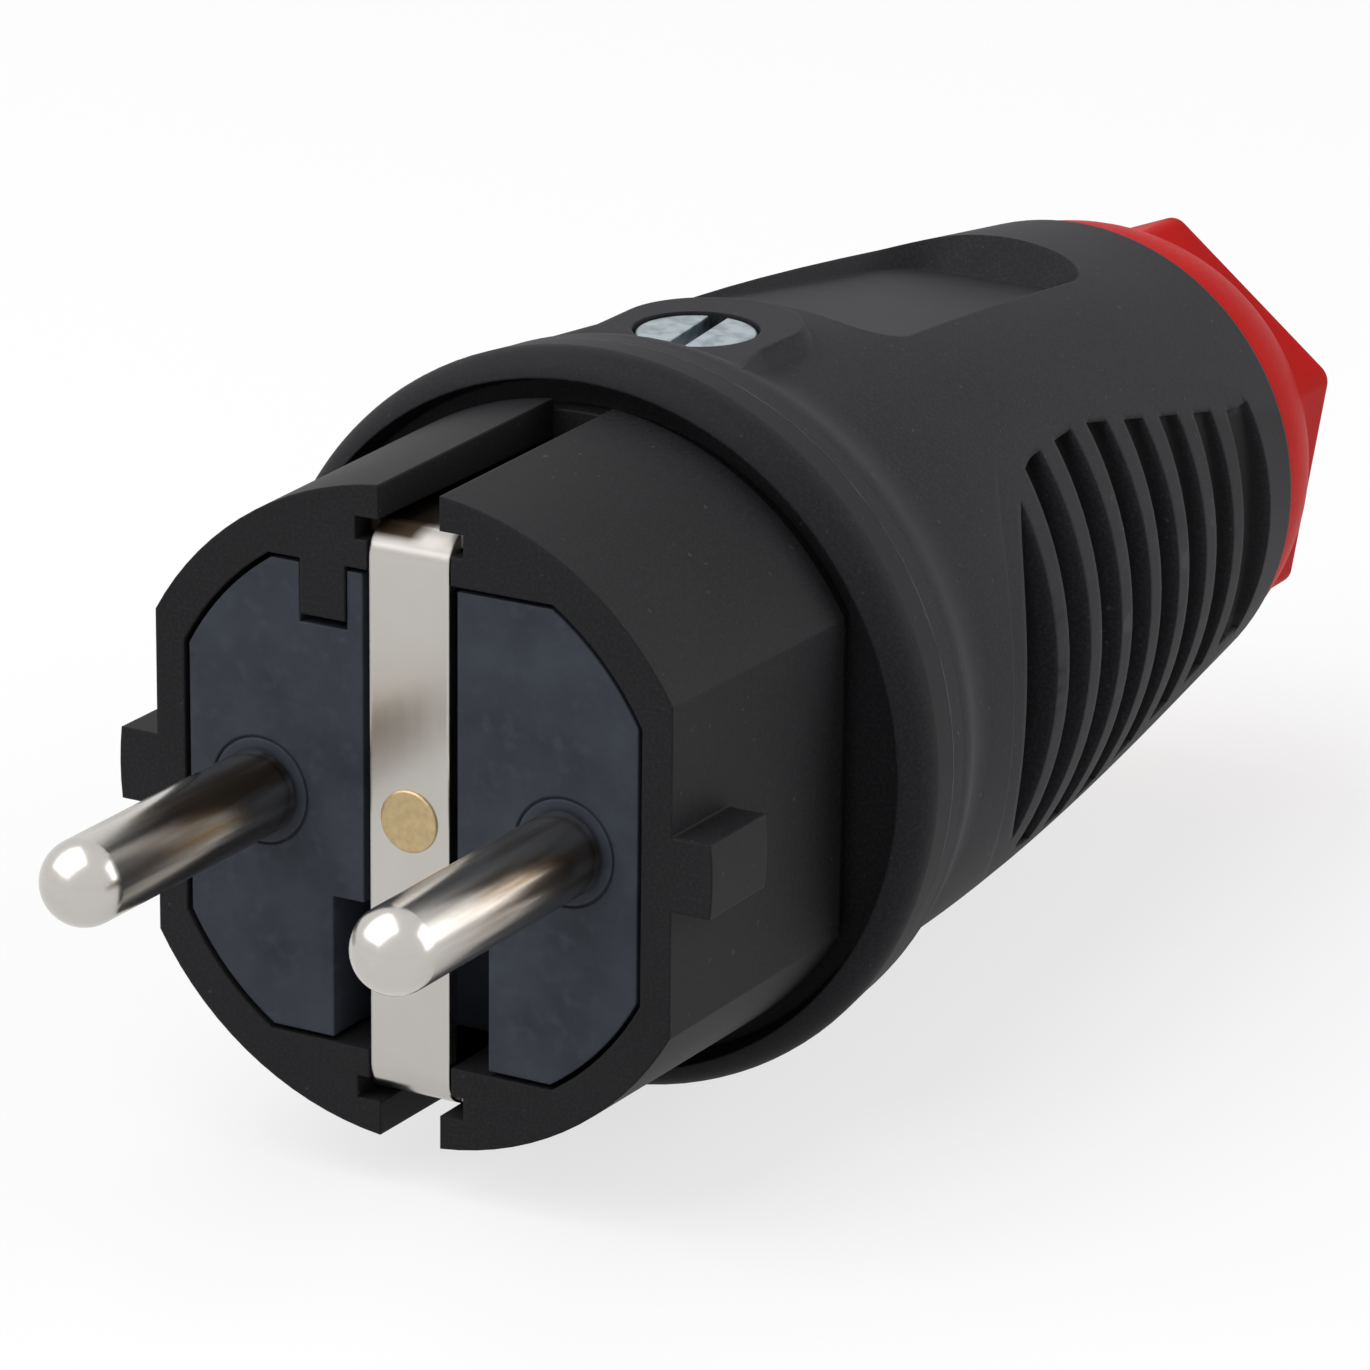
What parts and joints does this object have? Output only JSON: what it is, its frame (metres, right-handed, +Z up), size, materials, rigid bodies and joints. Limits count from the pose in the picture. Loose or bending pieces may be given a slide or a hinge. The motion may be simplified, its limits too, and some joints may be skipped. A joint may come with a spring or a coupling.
{
  "type": "schuko plug",
  "caption": "Rubber-jacketed two-pin mains plug with side earth contacts, ribbed grips, an insert held by a top screw and a red hexagonal cable gland nut.",
  "frame": {"origin": "middle of the face, half way between the pins, on the plane they come out of", "axes": "+Z up to the housing screw, pins point to -Y, the cable leaves to +Y, +X to the right seen from the pins"},
  "size_m": [0.0428, 0.107, 0.0428],
  "materials": {
    "jacket": "matte black elastomer with a fine grain",
    "shell": "matte black hard plastic",
    "insert": "matte blue-grey moulded plastic",
    "nickel": "nickel-plated brass",
    "brass": "bare brass",
    "zinc": "zinc-plated steel",
    "cage": "grey plastic",
    "seal": "black rubber",
    "nut": "red plastic, satin"
  },
  "bodies": {
    "root": {"inner_shell": "shell", "jacket": "jacket", "contact_carrier": "insert", "carrier_back": "insert", "captive_nut": "zinc", "housing_screw": "zinc", "live_pin": "nickel", "neutral_pin": "nickel", "earth_strap": "nickel", "earth_rivet": "brass", "earth_terminal": "brass", "clamp_cage": "cage", "gland_seal": "seal", "gland_nut": "nut", "live_clamp_plate": "zinc", "earth_clamp_plate": "zinc", "neutral_clamp_plate": "zinc", "live_terminal_screw": "zinc", "earth_terminal_screw": "zinc", "neutral_terminal_screw": "zinc"}
  },
  "joints": []
}
